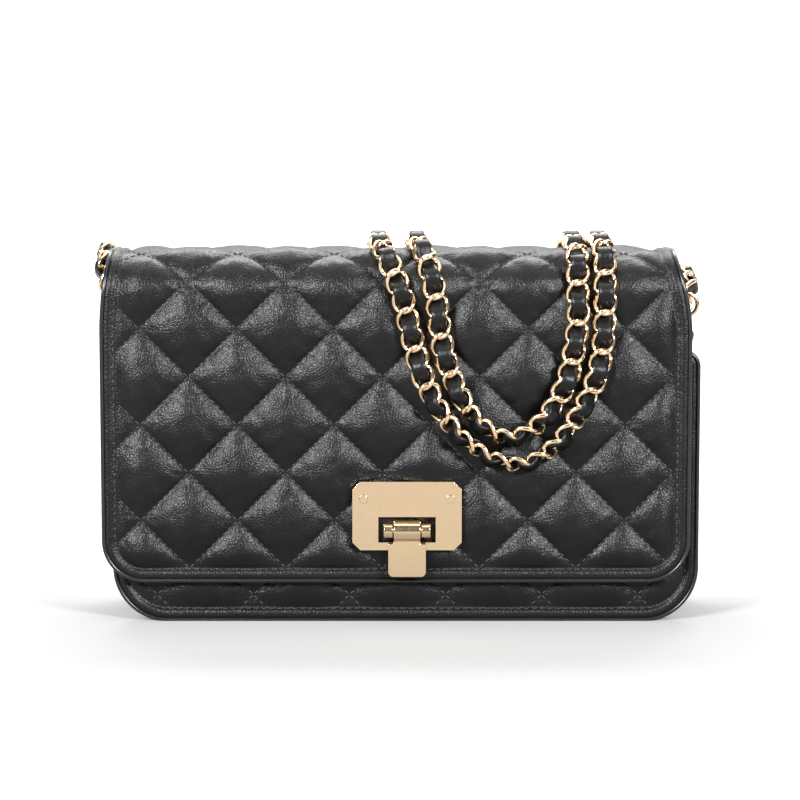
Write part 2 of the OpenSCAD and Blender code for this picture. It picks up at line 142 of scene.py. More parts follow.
def skin(rows, cols, wrap_rows=False, wrap_cols=True, caps=True):
    """The faces over rows of points, which are rings when wrap_cols is set"""
    row = np.arange(rows if wrap_rows else rows - 1)
    col = np.arange(cols if wrap_cols else cols - 1)
    r, c = np.meshgrid(row, col, indexing="ij")
    up = (r + 1) % rows
    on = (c + 1) % cols
    quads = np.stack([r * cols + c, r * cols + on, up * cols + on, up * cols + c], -1)
    faces = quads.reshape(-1, 4).tolist()
    if wrap_cols and caps and not wrap_rows:
        faces.append(list(range(cols))[::-1])
        faces.append([(rows - 1) * cols + i for i in range(cols)])
    return faces


def unit(v):
    return v / np.maximum(np.linalg.norm(v, axis=-1, keepdims=True), 1e-9)


def smooth(low, high, value):
    """0 below low, 1 above high, and a smooth turn between"""
    t = np.clip((value - low) / (high - low), 0, 1)
    return t * t * (3 - 2 * t)


def waves(seed, wavelength, count=7):
    """An even, repeatable unevenness of two coordinates, from about -1 to 1"""
    draw = np.random.default_rng(seed)
    turn = draw.uniform(0, 2 * math.pi, count)
    length = wavelength * draw.uniform(0.6, 1.6, count)
    start = draw.uniform(0, 2 * math.pi, count)

    def at(a, b):
        total = 0
        for k in range(count):
            along = a * math.cos(turn[k]) + b * math.sin(turn[k])
            total = total + np.sin(2 * math.pi * along / length[k] + start[k])
        return total / math.sqrt(count)

    return at


# ---- materials ----


def node_set(name):
    made = bpy.data.materials.new(name)
    made.use_nodes = True
    nodes = made.node_tree.nodes
    link = made.node_tree.links.new
    shader = nodes["Principled BSDF"]
    place = nodes.new("ShaderNodeTexCoord")
    return made, nodes, link, shader, place.outputs["Object"]


def texture(nodes, link, place, kind, scale, **inputs):
    """A texture node, scale in repeats a metre"""
    node = nodes.new(f"ShaderNodeTex{kind}")
    node.inputs["Scale"].default_value = scale
    for name, value in inputs.items():
        node.inputs[name].default_value = value
    link(place, node.inputs["Vector"])
    return node


def ramp(nodes, link, value, low, high, at=(0.0, 1.0)):
    """Turns a value into a colour between low and high"""
    node = nodes.new("ShaderNodeValToRGB")
    for stop, colour, place in zip(node.color_ramp.elements, (low, high), at):
        stop.color = (*colour, 1)
        stop.position = place
    link(value, node.inputs["Fac"])
    return node.outputs["Color"]


def spread(nodes, link, value, low, high):
    """Turns a value from 0..1 into one from low to high"""
    node = nodes.new("ShaderNodeMapRange")
    node.inputs["To Min"].default_value = low
    node.inputs["To Max"].default_value = high
    link(value, node.inputs["Value"])
    return node.outputs["Result"]


def bumps(nodes, link, shader, layers):
    """Bumps laid one on another, each a value and its height in metres"""
    last = None
    for value, height in layers:
        node = nodes.new("ShaderNodeBump")
        node.inputs["Distance"].default_value = height
        node.inputs["Strength"].default_value = 1
        link(value, node.inputs["Height"])
        if last:
            link(last, node.inputs["Normal"])
        last = node.outputs["Normal"]
    link(last, shader.inputs["Normal"])


def leather(name, dark, light, rough, grain, pebble=900):
    """Grained leather: pebbles about a millimetre across, finer creases and a faint unevenness"""
    made, nodes, link, shader, place = node_set(name)
    drift = texture(nodes, link, place, "Noise", 260, Detail=3)
    warp = nodes.new("ShaderNodeVectorMath")
    warp.operation = "MULTIPLY_ADD"
    warp.inputs[1].default_value = (0.0012, 0.0012, 0.0012)
    link(drift.outputs["Color"], warp.inputs[0])
    link(place, warp.inputs[2])
    cells = texture(nodes, link, warp.outputs["Vector"], "Voronoi", pebble, Randomness=1.0)
    cells.feature = "DISTANCE_TO_EDGE"
    crease = nodes.new("ShaderNodeMapRange")
    crease.inputs["From Max"].default_value = 0.3
    link(cells.outputs["Distance"], crease.inputs["Value"])
    fine = texture(nodes, link, place, "Noise", 2600, Detail=4, Roughness=0.6)
    cloud = texture(nodes, link, place, "Noise", 45, Detail=2)
    link(ramp(nodes, link, cloud.outputs["Fac"], dark, light, (0.3, 0.7)), shader.inputs["Base Color"])
    link(spread(nodes, link, fine.outputs["Fac"], rough - 0.07, rough + 0.1), shader.inputs["Roughness"])
    shader.inputs["Specular IOR Level"].default_value = 0.22
    bumps(nodes, link, shader, [
        (crease.outputs["Result"], grain),
        (fine.outputs["Fac"], grain * 0.5),
    ])
    return made


def metal(name, colour, rough):
    """Plated metal with faint polishing marks"""
    made, nodes, link, shader, place = node_set(name)
    shader.inputs["Metallic"].default_value = 1
    cloud = texture(nodes, link, place, "Noise", 120, Detail=2)
    pale = tuple(min(1, c * 1.06) for c in colour)
    link(ramp(nodes, link, cloud.outputs["Fac"], colour, pale), shader.inputs["Base Color"])
    marks = texture(nodes, link, place, "Noise", 900, Detail=3)
    link(spread(nodes, link, marks.outputs["Fac"], rough * 0.7, rough * 1.4), shader.inputs["Roughness"])
    bumps(nodes, link, shader, [(cloud.outputs["Fac"], 0.00001)])
    return made


def cloth(name, dark, light, pitch, height):
    """Plain woven cloth, pitch in threads a metre"""
    made, nodes, link, shader, place = node_set(name)
    parts = []
    for axis in ("X", "Z"):
        bands = texture(nodes, link, place, "Wave", pitch / 6.283, Distortion=0.6)
        bands.bands_direction = axis
        parts.append(bands.outputs["Fac"])
    woven = nodes.new("ShaderNodeMath")
    woven.operation = "MULTIPLY"
    link(parts[0], woven.inputs[0])
    link(parts[1], woven.inputs[1])
    link(ramp(nodes, link, woven.outputs["Value"], dark, light), shader.inputs["Base Color"])
    fuzz = texture(nodes, link, place, "Noise", 1800, Detail=3)
    link(spread(nodes, link, fuzz.outputs["Fac"], 0.65, 0.85), shader.inputs["Roughness"])
    shader.inputs["Sheen Weight"].default_value = 0.3
    bumps(nodes, link, shader, [(woven.outputs["Value"], height), (fuzz.outputs["Fac"], height * 0.5)])
    return made


def plain(name, dark, light, rough, scale, height):
    """A finish with a fine random grain: painted edges, thread and board"""
    made, nodes, link, shader, place = node_set(name)
    grain = texture(nodes, link, place, "Noise", scale, Detail=4)
    link(ramp(nodes, link, grain.outputs["Fac"], dark, light), shader.inputs["Base Color"])
    link(spread(nodes, link, grain.outputs["Fac"], rough - 0.06, rough + 0.06), shader.inputs["Roughness"])
    bumps(nodes, link, shader, [(grain.outputs["Fac"], height)])
    return made


quilt_leather = leather("quilted leather", (0.0012, 0.0012, 0.0014), (0.0022, 0.0022, 0.0025), 0.36, 0.00006)
side_leather = leather("side leather", (0.0012, 0.0012, 0.0014), (0.0022, 0.0022, 0.0025), 0.38, 0.00006)
lace_leather = leather("lace leather", (0.002, 0.002, 0.0022), (0.0035, 0.0035, 0.004), 0.32, 0.00003, 1500)
gold = metal("champagne gold", (0.60, 0.45, 0.285), 0.2)
chain_gold = metal("chain gold", (0.80, 0.58, 0.36), 0.17)
steel = metal("snap steel", (0.62, 0.61, 0.60), 0.25)
lining = cloth("lining", (0.012, 0.012, 0.013), (0.035, 0.035, 0.038), 4200, 0.00004)
tape_cloth = cloth("zip tape", (0.008, 0.008, 0.009), (0.022, 0.022, 0.024), 3000, 0.00008)
edge_paint = plain("edge paint", (0.002, 0.002, 0.0022), (0.003, 0.003, 0.0033), 0.3, 900, 0.00002)
thread = plain("thread", (0.004, 0.004, 0.0045), (0.008, 0.008, 0.009), 0.5, 4000, 0.00004)
board = plain("board", (0.05, 0.045, 0.04), (0.09, 0.08, 0.07), 0.8, 1500, 0.00005)

# ---- leather laid flat ----


class Sheet:
    """A piece of leather. v runs along it and x across it when it is flat, and depth goes into
    the bag from its outer face. place carries a flat point to where it is on the bag."""

    def __init__(self, low, high, low_r, high_r, sides, place):
        self.low, self.high = low, high
        self.low_r, self.high_r = low_r, high_r
        self.sides = sides
        self.place = place

    def edge_distance(self, x, v):
        left, right = self.sides(v)
        distance = np.minimum.reduce([x - left, right - x, v - self.low, self.high - v])
        for end, r, up in ((self.low, self.low_r, 1), (self.high, self.high_r, -1)):
            beyond = r - up * (v - end)
            for side, out in ((left, -1), (right, 1)):
                past = out * (x - side) + r
                corner = (beyond > 0) & (past > 0)
                distance = np.where(corner, r - np.hypot(beyond, past), distance)
        return distance

    def rows(self, step, start):
        """The values of v in the mesh, closer together where the corners are round"""
        bend = math.pi / 2
        low_turn = np.linspace(0, bend, max(4, int(1.2 * self.low_r * bend / step)))
        high_turn = np.linspace(0, bend, max(4, int(1.2 * self.high_r * bend / step)))
        low = self.low + self.low_r * (1 - np.cos(low_turn))
        high = self.high - self.high_r * (1 - np.cos(high_turn))[::-1]
        first = math.ceil((low[-1] + step / 2 - start) / step)
        middle = start + step * np.arange(first, first + (high[0] - low[-1]) // step + 1)
        middle = middle[(middle > low[-1] + step / 3) & (middle < high[0] - step / 3)]
        inset_low = self.low_r * (1 - np.sin(low_turn))
        inset_high = self.high_r * (1 - np.sin(high_turn))[::-1]
        inset = np.concatenate([inset_low, np.zeros(len(middle)), inset_high])
        return np.concatenate([low, middle, high]), inset

    def grid(self, step, start=(0, 0)):
        """x and v of a mesh that lines up with start and fills the outline to its edge"""
        v, inset = self.rows(step[1], start[1])
        left, right = self.sides(v)
        left, right = left + inset, right - inset
        widest = max(self.low_r, self.high_r) + 8
        inner_left = self.sides(self.low)[0] + widest
        inner_right = self.sides(self.low)[1] - widest
        first = math.ceil((inner_left - start[0]) / step[0])
        last = math.floor((inner_right - start[0]) / step[0])
        middle = start[0] + step[0] * np.arange(first, last + 1)
        share = np.linspace(0, 1, int(widest / step[0]) + 1)[1:]
        x_left = middle[0] + (left - middle[0])[:, None] * share[::-1][None, :]
        x_right = middle[-1] + (right - middle[-1])[:, None] * share[None, :]
        x = np.concatenate([x_left, np.tile(middle, (len(v), 1)), x_right], 1)
        return x, np.repeat(v[:, None], x.shape[1], 1)

    def outline(self, inset, step):
        """Points about step apart along the edge, drawn in by inset, and the way out from each"""
        runs = []
        for out, end, r, up, start in (
            (1, self.low, self.low_r, 1, -90),
            (1, self.high, self.high_r, -1, 0),
            (-1, self.high, self.high_r, -1, 90),
            (-1, self.low, self.low_r, 1, 180),
        ):
            centre_v = end + up * r
            centre_x = self.sides(np.array(centre_v))[(out + 1) // 2] - out * r
            turn = np.radians(np.linspace(start, start + 90, 24))
            reach = r - inset
            runs.append(np.stack([centre_x + reach * np.cos(turn), centre_v + reach * np.sin(turn)], 1))
            if start in (-90, 90):
                v = np.linspace(self.low + self.low_r, self.high - self.high_r, 200)[1:-1]
                v = v if out > 0 else v[::-1]
                side = self.sides(v)[(out + 1) // 2] - out * inset
                runs.append(np.stack([side, v], 1))
        points = np.concatenate(runs)
        points = np.concatenate([points, points[:1]])
        length = np.concatenate([[0], np.cumsum(np.linalg.norm(np.diff(points, axis=0), axis=1))])
        at = np.linspace(0, length[-1], round(length[-1] / step) + 1)[:-1]
        even = np.stack([np.interp(at, length, points[:, k]) for k in (0, 1)], 1)
        ahead = unit(np.roll(even, -1, 0) - np.roll(even, 1, 0))
        return even, np.stack([ahead[:, 1], -ahead[:, 0]], 1)

    def solid(self, name, outer, inner, step, material, slot, start=(0, 0)):
        """The sheet between two depths, which are functions of x, v and the distance to the edge"""
        x, v = self.grid(step, start)
        edge = self.edge_distance(x, v)
        faces = []
        layers = []
        for depth in (outer, inner):
            layers.append(np.stack(self.place(x, v, depth(x, v, edge)), -1).reshape(-1, 3))
        rows, cols = x.shape
        count = rows * cols
        faces = skin(rows, cols, wrap_cols=False)
        faces += [[count + i for i in face[::-1]] for face in skin(rows, cols, wrap_cols=False)]
        index = np.arange(count).reshape(rows, cols)
        rim = np.concatenate([index[0, :-1], index[:-1, -1], index[-1, :0:-1], index[:0:-1, 0]])
        for a, b in zip(rim, np.roll(rim, -1)):
            faces.append([int(b), int(a), int(a) + count, int(b) + count])
        return add_mesh(name, np.concatenate(layers), faces, material)

    def bead(self, name, inset, half_w, centre, half_h, material, slot):
        """A rounded bead along the whole edge"""
        flat, out = self.outline(inset, 1.2)
        turn = np.linspace(0, 2 * math.pi, 13)[:-1]
        x = flat[:, None, 0] + out[:, None, 0] * half_w * np.cos(turn)
        v = flat[:, None, 1] + out[:, None, 1] * half_w * np.cos(turn)
        squared = np.sign(np.sin(turn)) * np.abs(np.sin(turn)) ** 0.7
        depth = centre + half_h * np.repeat(squared[None], len(flat), 0)
        points = np.stack(self.place(x, v, depth), -1).reshape(-1, 3)
        return add_mesh(name, points, skin(len(flat), 12, wrap_rows=True), material)


def stitch(shape, sheet, x, v, along, depth, length=2.2, r=0.3):
    """One stitch: a short thread that dives into the leather at both ends"""
    ends = np.array([-0.5, -0.42, -0.2, 0.2, 0.42, 0.5]) * length
    thick = np.array([0.35, 0.75, 1, 1, 0.75, 0.35]) * r
    dive = np.array([0.45, 0.2, 0, 0, 0.2, 0.45]) * r * 2
    turn = np.linspace(0, 2 * math.pi, 7)[:-1]
    side = thick[:, None] * np.cos(turn)[None]
    low = depth + dive[:, None] - thick[:, None] * np.sin(turn)[None]
    px = x + along[0] * ends[:, None] - along[1] * side
    pv = v + along[1] * ends[:, None] + along[0] * side
    shape.add(np.stack(sheet.place(px, pv, low), -1), skin(6, 6))


# ---- quilting ----

QUILT_W = 37.27
QUILT_H = 37
LINE_GAP = QUILT_W * QUILT_H / math.hypot(QUILT_W, QUILT_H)
SIDE = math.hypot(QUILT_W, QUILT_H) / 2
PUFF = 2.6
PROUD_PUFF = 3.7  # on the flap's front, where the crests swell most
LOCK_X = 0.5
LOCK_Z = 42
PLATE_HALF_W = 21
PLATE_HALF_H = 13.25
SEAM_DEPTH = 2.2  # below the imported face, so the crests stand a little proud of it
STITCHES_A_SIDE = 9
HEM_RISE = 1.35
fold_waves = waves(3, 9)
soft_waves = waves(4, 40)
tuck_waves = waves(5, 5)


class Quilting:
    """Diamonds with a crossing at start, which is x and v"""

    def __init__(self, sheet, start, puff):
        self.sheet = sheet
        self.start = start
        self.puff = puff

    def numbers(self, x, v):
        """The count of lines passed in each slanting direction. A line is at each whole number"""
        across = (x - self.start[0]) / QUILT_W
        along = (v - self.start[1]) / QUILT_H
        return across + along, across - along

    def point(self, a, b):
        return self.start[0] + QUILT_W * (a + b) / 2, self.start[1] + QUILT_H * (a - b) / 2

    def height(self, x, v, edge):
        """How far the leather stands above the bottom of the seams"""
        a, b = self.numbers(x, v)
        off_a = np.abs(a - np.round(a)) * LINE_GAP
        off_b = np.abs(b - np.round(b)) * LINE_GAP
        crown_a = 1 - (1 - 2 * off_a / LINE_GAP) ** 2
        crown_b = 1 - (1 - 2 * off_b / LINE_GAP) ** 2
        off_edge = np.clip((edge - BORDER) / (LINE_GAP * 0.4), 0, 1)
        crown_edge = 1 - (1 - off_edge) ** 2.3
        patch = np.sin(12.9 * np.floor(a) + 78.2 * np.floor(b)) * 43.7
        fullness = 0.94 + 0.06 * np.sin(patch)
        most = self.puff(x, v)
        pillow = most * fullness * (crown_a * crown_b) ** 0.72 * crown_edge
        near = np.minimum(off_a, off_b)
        where = np.where(off_a < off_b, b, a) * SIDE
        tucks = 0.16 * np.cos(2 * math.pi * where / (SIDE / STITCHES_A_SIDE)) * np.exp(-near / 1.3)
        tucks = tucks * smooth(0, 1.0, near)
        creases = 0.28 * tuck_waves(where, np.round(a) * 31 + np.round(b) * 17) * np.exp(-near / 3.5)
        creases = creases * smooth(0, 2.5, near)
        folds = 0.10 * fold_waves(x, v) * smooth(1, 6, near)
        pillow = pillow + (tucks + creases + folds) * crown_edge
        across_hem = np.clip((edge - 2.5) / 2.5, -1, 1)
        hem = HEM_RISE * (1 - np.abs(across_hem) ** 2.6)
        hem = hem + 0.05 * soft_waves(x * 3, v * 3) * (edge > 0.5)
        return np.where(edge < BORDER, hem, np.minimum(pillow, most))

    def stitches(self, name, floor):
        """Real stitches along every seam and round the hem"""
        shape = Shape()
        sheet = self.sheet
        corners_x = np.array([sheet.sides(np.array(v))[k] for v in (sheet.low, sheet.high) for k in (0, 1)])
        corners_v = np.array([sheet.low, sheet.low, sheet.high, sheet.high])
        reach_a, reach_b = self.numbers(corners_x, corners_v)
        most = int(max(np.abs(reach_a).max(), np.abs(reach_b).max())) + 1
        counts = (np.arange(-most * STITCHES_A_SIDE, most * STITCHES_A_SIDE) + 0.5) / STITCHES_A_SIDE
        for line in range(-most, most + 1):
            for slant in (1, -1):
                a = np.full(len(counts), float(line)) if slant > 0 else counts
                b = counts if slant > 0 else np.full(len(counts), float(line))
                x, v = self.point(a, b)
                along = unit(np.array([QUILT_W, -slant * QUILT_H]))
                inside = (v > sheet.low) & (v < sheet.high)
                for px, pv in zip(x[inside], v[inside]):
                    if sheet.edge_distance(px, pv) > BORDER + 0.6:
                        stitch(shape, sheet, px, pv, along, floor - 0.2)
        flat, out = sheet.outline(BORDER - 0.3, 3.0)
        for (px, pv), way in zip(flat, out):
            stitch(shape, sheet, px, pv, (-way[1], way[0]), floor - 0.25)
        return shape.mesh(name, thread)


def even_puff(x, v):
    return np.full(np.shape(x + v), PUFF)


def flap_puff(x, v):
    """The flap's front swells, but is pressed flat under the lock and over the top"""
    beside = np.maximum(np.abs(x - LOCK_X) - PLATE_HALF_W, 0)
    above = np.maximum(np.abs(v - LOCK_Z) - PLATE_HALF_H, 0)
    clear = smooth(0, 9, np.hypot(beside, above)) * (1 - smooth(V_ROLL - 8, V_ROLL + 12, v))
    return PUFF + (PROUD_PUFF - PUFF) * clear - 0.4 * (beside + above == 0)


def quilted_piece(name, sheet, start, nodes, puff):
    """A quilted panel, its painted edge and its stitches"""
    quilting = Quilting(sheet, start, puff)

    def outer(x, v, edge):
        return SEAM_DEPTH - quilting.height(x, v, edge)

    def inner(x, v, edge):
        return np.full(x.shape, SEAM_DEPTH + 0.6)

    panel = sheet.solid(
        name, outer, inner, (QUILT_W / 48, QUILT_H / 48), quilt_leather, "quilted_leather", start
    )
    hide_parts(*nodes)
    edge = sheet.bead(
        name + "_edge", 0.4, 0.9, PANEL_T / 2 + 0.2, PANEL_T / 2 - 0.2, edge_paint, "quilted_leather"
    )
    seams = quilting.stitches(name + "_stitches", SEAM_DEPTH)
    return panel, edge, seams


# ---- the shell: the flap's front, the top and the back in one piece ----

BEND = ROLL_R * math.pi / 2
V_ROLL = TOP_Z - ROLL_R
V_TOP = V_ROLL + BEND
V_BACK_ROLL = V_TOP + (BACK_Y - FRONT_Y - 2 * ROLL_R)
V_BACK = V_BACK_ROLL + BEND
V_END = V_BACK + V_ROLL


def over_the_top(x, v, depth):
    """The path up the front, over the top and down the back"""
    r = ROLL_R - depth
    front = np.clip((v - V_ROLL) / ROLL_R, 0, math.pi / 2)
    back = np.clip((v - V_BACK_ROLL) / ROLL_R, 0, math.pi / 2)
    y_front = FRONT_Y + ROLL_R - r * np.cos(front)
    y_back = BACK_Y - ROLL_R + r * np.sin(back)
    y_top = FRONT_Y + ROLL_R + np.clip(v - V_TOP, 0, V_BACK_ROLL - V_TOP)
    y = np.where(v < V_TOP, y_front, np.where(v < V_BACK_ROLL, y_top, y_back))
    z_front = np.minimum(v, V_ROLL) + r * np.sin(front)
    z_back = V_ROLL + r * np.cos(back) - np.maximum(v - V_BACK, 0)
    z = np.where(v < V_BACK_ROLL, z_front, z_back)
    return np.broadcast_to(x, z.shape), y, z


def shell_sides(v):
    """The flap is set a little to the left and narrows at the top; the back is full width"""
    low = smooth(112, 150, v)
    high = smooth(V_BACK - 22, V_BACK + 6, v)
    left = FLAP_SIDES[0] + 2.6 * low * (1 - high) + high * (-BODY_HALF - FLAP_SIDES[0])
    right = FLAP_SIDES[1] - 5.5 * low * (1 - high) + high * (BODY_HALF - FLAP_SIDES[1])
    return left, right


shell = Sheet(FLAP_LOW, V_END, FLAP_CORNER_R, CORNER_R, shell_sides, over_the_top)


def bend_at_hinge(piece):
    """Bakes the piece's placement into its mesh; it is not turned about the flap's hinge"""
    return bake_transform(piece)


def make_shell():
    panel, edge, seams = quilted_piece(
        "quilted_shell", shell, (-27.6, 113.6), ["flap_outer", "back_panel"], flap_puff
    )
    for piece in (panel, edge, seams):
        bend_at_hinge(piece)
    facing_sheet = Sheet(
        FLAP_LOW + 1.2, V_BACK + 9, FLAP_CORNER_R - 1, 2,
        lambda v: (shell_sides(v)[0] + 1.4, shell_sides(v)[1] - 1.4), over_the_top,
    )
    facing = facing_sheet.solid(
        "flap_facing",
        lambda x, v, edge: np.full(x.shape, SEAM_DEPTH + 0.65),
        lambda x, v, edge: 3.3 + 0.04 * soft_waves(x, v) - 0.25 * np.exp(-edge / 0.6),
        (2.4, 2.4), lining, "lining_cloth",
    )
    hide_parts("flap_lining")
    bend_at_hinge(facing)


# ---- the front panel ----


def straight_sides(half):
    return lambda v: (np.full(np.shape(v), -float(half)), np.full(np.shape(v), float(half)))


def on_front(x, v, depth):
    return np.broadcast_to(x, np.shape(depth)), BODY_FRONT_Y + depth, np.broadcast_to(v, np.shape(depth))


def make_front():
    sheet = Sheet(0, FRONT_H, CORNER_R, PANEL_TOP_R, straight_sides(BODY_HALF), on_front)
    pieces = quilted_piece("front_quilt", sheet, (-59.1, 10), ["front_panel"], even_puff)
    for piece in pieces:
        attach(piece, "bag")


# ---- the gusset ----


def gusset_top(y):
    rise = (GUSSET_BACK_H - GUSSET_FRONT_H) / (2 * INNER_HALF)
    return GUSSET_FRONT_H + (y + INNER_HALF) * rise


def pinch(y, z):
    """The sides draw in a little between the panels"""
    return 1.7 * np.cos(np.pi * y / (2 * INNER_HALF)) ** 2 * smooth(24, 50, z) * (1 - smooth(62, 86, z))


def gusset_section():
    """Once round the gusset's wall, from the front flange to the back: n out from the wall, and y"""
    bend = 3.0
    flange = 4.7
    turn = np.radians(np.linspace(0, 90, 7))
    wall = np.linspace(-INNER_HALF + bend, INNER_HALF - bend, 21)
    out_n = np.concatenate([
        [flange, 4], bend - bend * np.sin(turn), 0 * wall[1:-1], bend - bend * np.cos(turn), [4, flange]
    ])
    out_y = np.concatenate([
        [-INNER_HALF, -INNER_HALF], -INNER_HALF + bend - bend * np.cos(turn),
        wall[1:-1], INNER_HALF - bend + bend * np.sin(turn), [INNER_HALF, INNER_HALF],
    ])
    inner_bend = bend + GUSSET_T
    in_n = np.where(np.abs(out_y) > INNER_HALF - bend, bend - (bend - out_n) * inner_bend / bend, -GUSSET_T)
    in_n = np.where(out_n > bend, out_n, in_n)
    shift = 1.2 * smooth(INNER_HALF - bend, INNER_HALF, np.abs(out_y))
    in_y = out_y - np.sign(out_y) * shift
    return np.concatenate([out_n, in_n[::-1]]), np.concatenate([out_y, in_y[::-1]])


def make_gusset():
    n, y = gusset_section()
    r = CORNER_R - BORDER
    centre = GUSSET_X - r
    turn = np.radians(np.linspace(0, 90, 16))
    rings = []
    leg = np.linspace(1, 0, 56)
    stations = [("leg", -1, t) for t in leg]
    stations += [("arc", -1, t) for t in turn[1:]]
    stations += [("floor", 0, t) for t in np.linspace(-centre, centre, 60)[1:-1]]
    stations += [("arc", 1, t) for t in turn[::-1][:-1]]
    stations += [("leg", 1, t) for t in leg[::-1]]
    for kind, side, t in stations:
        if kind == "leg":
            top = gusset_top(y)
            z = CORNER_R + (top - CORNER_R) * t
            left_over = np.clip((z - (top - 9)) / 8.2, 0, 1)
            reach = np.where(n > 0, n * np.sqrt(1 - left_over ** 2), n)
            x = side * (GUSSET_X + reach - pinch(y, z))
            if t > 0.99:
                z = z - 0.3 * (n < 0)
        elif kind == "arc":
            x = side * (centre + (r + n) * np.cos(t))
            z = CORNER_R - (r + n) * np.sin(t)
        else:
            x = np.full(n.shape, t)
            z = BORDER - n
        rings.append(np.stack([x, y, z], 1))
    rings = np.array(rings)
    gusset = add_mesh(
        "gusset_wall", rings.reshape(-1, 3), skin(len(rings), len(n)), side_leather
    )
    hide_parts("gusset")
    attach(gusset, "bag")


# ---- the inside ----

LINING_FRONT = -22.9
LINING_BACK = 21.7
LINING_LOW = 8.9
LINING_HALF = 106.1
LINING_R = 14.1
cloth_waves = waves(11, 34)
cloth_ripple = waves(12, 13)


def lining_ring(half_x, y0, y1, count=40, r=3):
    """A rectangle with round corners, seen from above, as x, y and the way in from each point"""
    turn = np.radians(np.linspace(0, 90, 7))
    points = []
    inward = []
    for sx, sy, start in ((1, 1, 0), (-1, 1, 90), (-1, -1, 180), (1, -1, 270)):
        corner_x = sx * (half_x - r)
        corner_y = (y1 - r) if sy > 0 else (y0 + r)
        angle = turn + math.radians(start)
        points.append(np.stack([corner_x + r * np.cos(angle), corner_y + r * np.sin(angle)], 1))
        inward.append(-np.stack([np.cos(angle), np.sin(angle)], 1))
        if sx == sy:
            spread_x = np.linspace(sx, -sx, count)[1:-1] * (half_x - r)
            points.append(np.stack([spread_x, np.full(count - 2, y1 if sy > 0 else y0)], 1))
            inward.append(np.tile([0.0, -float(sy)], (count - 2, 1)))
        else:
            spread_y = np.linspace(corner_y, (y0 + r) if sy > 0 else (y1 - r), 14)[1:-1]
            points.append(np.stack([np.full(12, sx * half_x), spread_y], 1))
            inward.append(np.tile([-float(sx), 0.0], (12, 1)))
    return np.concatenate(points), np.concatenate(inward)


def make_lining():
    levels = np.linspace(1, 0, 46)[:-1] * 80 + LINING_LOW + LINING_R
    rings = []
    for level in levels:
        flat, inward = lining_ring(LINING_HALF, LINING_FRONT, LINING_BACK, 60)
        share = (level - levels[-1]) / (levels[0] - levels[-1])
        z = levels[-1] + (gusset_top(flat[:, 1]) - 2 - levels[-1]) * share
        ripple = 0.35 * cloth_waves(flat[:, 0] + flat[:, 1], z) + 0.12 * cloth_ripple(flat[:, 0], z)
        ripple = ripple * (1 - share) ** 0.5
        deep = np.clip(0.4 + ripple, 0, 1.2) * smooth(0, 0.15, 1 - share)
        deep = deep + pinch(flat[:, 1], z) * (np.abs(inward[:, 0]) > 0.9)
        flare = 0.9 * smooth(0.9, 1, share) * (np.abs(inward[:, 1]) > 0.5)
        flat = flat + inward * (deep - flare)[:, None]
        rings.append(np.column_stack([flat, z]))
    for turn in np.radians(np.linspace(0, 90, 12))[1:]:
        half = LINING_HALF - LINING_R + LINING_R * math.cos(turn)
        z = LINING_LOW + LINING_R * (1 - math.sin(turn))
        flat, inward = lining_ring(half, LINING_FRONT, LINING_BACK, 60)
        rings.append(np.column_stack([flat + inward * 0.4, np.full(len(flat), z)]))
    for share in (0.15, 0.35, 0.6, 0.85, 0.97):
        half = LINING_HALF - LINING_R - 20 * share
        middle = (LINING_FRONT + LINING_BACK) / 2
        depth = (LINING_BACK - LINING_FRONT) / 2 * (1 - share)
        flat, inward = lining_ring(half, middle - depth, middle + depth, 60, min(3, depth * 0.9))
        rings.append(np.column_stack([flat, np.full(len(flat), LINING_LOW)]))
    rings = np.array(rings)
    rows, cols = rings.shape[:2]
    faces = skin(rows, cols, caps=False) + [[(rows - 1) * cols + i for i in range(cols)]]
    bag = add_mesh("lining_bag", rings.reshape(-1, 3), faces, lining)
    thicken(bag, 0.5)
    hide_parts("main_lining")
    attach(bag, "bag")


def thicken(piece, thickness):
    """Gives an open sheet its thickness, inwards from its outer face, and makes that its mesh"""
    wall = piece.modifiers.new("thickness", "SOLIDIFY")
    wall.thickness = thickness * MM
    wall.offset = -1
    apply_modifiers(piece)


def apply_modifiers(piece):
    depsgraph = bpy.context.evaluated_depsgraph_get()
    mesh = bpy.data.meshes.new_from_object(piece.evaluated_get(depsgraph))
    piece.modifiers.clear()
    piece.data = mesh


def facing_back(y0):
    """Places a flat piece on the lining's front wall, where depth goes towards the back"""
    def place(x, v, depth):
        shape = np.shape(depth)
        return np.broadcast_to(x, shape), y0 + depth, np.broadcast_to(v, shape)

    return place


def make_pockets():
    wall = LINING_FRONT + 0.6
    slip = Sheet(33, 93, 5, 1, straight_sides(60), facing_back(wall))

    def lift(x, v, edge):
        shut = np.minimum(np.minimum(x + 60, 60 - x), v - 33)
        return 1.4 * smooth(0, 4, shut) + 0.25 * cloth_ripple(x, v) * smooth(4, 20, shut)

    pocket = slip.solid(
        "slip_pocket_cloth", lambda x, v, e: lift(x, v, e) - 0.1, lambda x, v, e: lift(x, v, e) + 0.5,
        (1.6, 1.6), lining, "lining_cloth",
    )
    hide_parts("slip_pocket")
    hem = Shape()
    for side in (0, 1):
        for v in np.arange(35.5, 91, 3.0):
            stitch(hem, slip, (side * 2 - 1) * 58.6, v, (0, 1), 0.95, r=-0.22)
    for x in np.arange(-55, 56, 3.0):
        stitch(hem, slip, x, 34.6, (1, 0), 0.95, r=-0.22)
    pouch = Sheet(30, 100, 5, 1, straight_sides(75), facing_back(LINING_BACK + 0.1))
    back = pouch.solid(
        "zip_pouch_cloth", lambda x, v, e: 0.1 + 0 * x,
        lambda x, v, e: 0.6 + 0.4 * smooth(0, 6, e) + 0.05 * cloth_ripple(x, v),
        (3, 3), lining, "lining_cloth",
    )
    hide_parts("zip_pouch")
    seams = hem.mesh("slip_pocket_stitches", thread, "lining_cloth")
    for piece in (pocket, back, seams):
        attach(piece, "bag")


